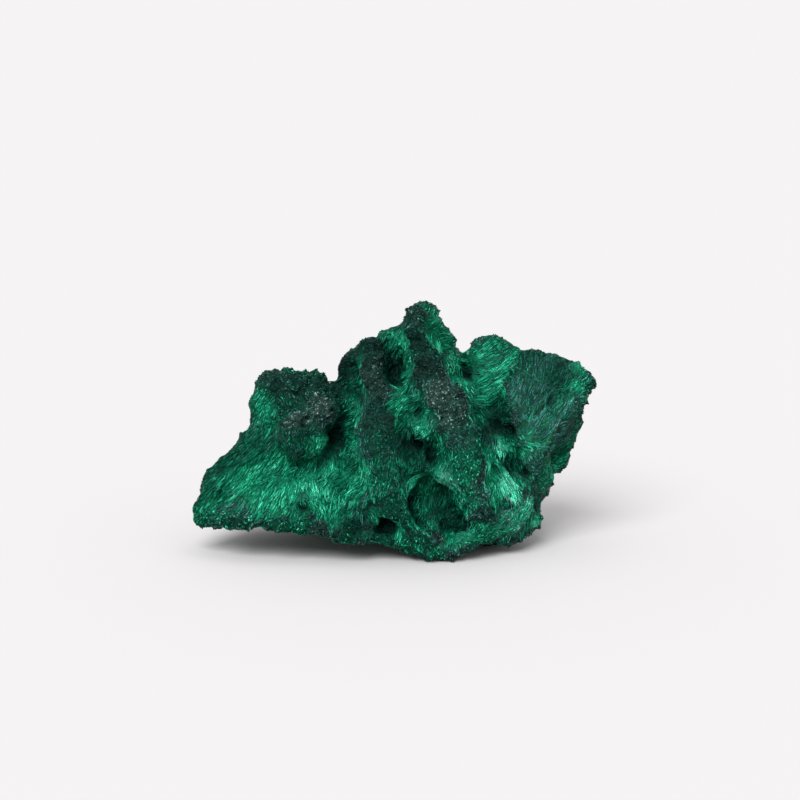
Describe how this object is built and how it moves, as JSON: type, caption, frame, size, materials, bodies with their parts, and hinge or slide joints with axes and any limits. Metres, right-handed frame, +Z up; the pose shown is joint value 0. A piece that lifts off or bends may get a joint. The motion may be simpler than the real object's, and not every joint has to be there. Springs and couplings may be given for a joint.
{
  "type": "malachite specimen",
  "caption": "Free-standing stone of fibrous malachite: silky green fans and ridges of fibres with dark, granular crests, parted by valleys and a deep pocket.",
  "frame": {"origin": "on the surface that the stone stands on, under the middle of its bounding box", "axes": "+X to the right along the stone's length, +Y away from the front shown in the picture, +Z up"},
  "size_m": [0.0694, 0.0336, 0.0428],
  "materials": {
    "malachite": "silky fibres, granular on the crests"
  },
  "bodies": {
    "root": {"malachite_stone": "malachite"}
  },
  "joints": []
}
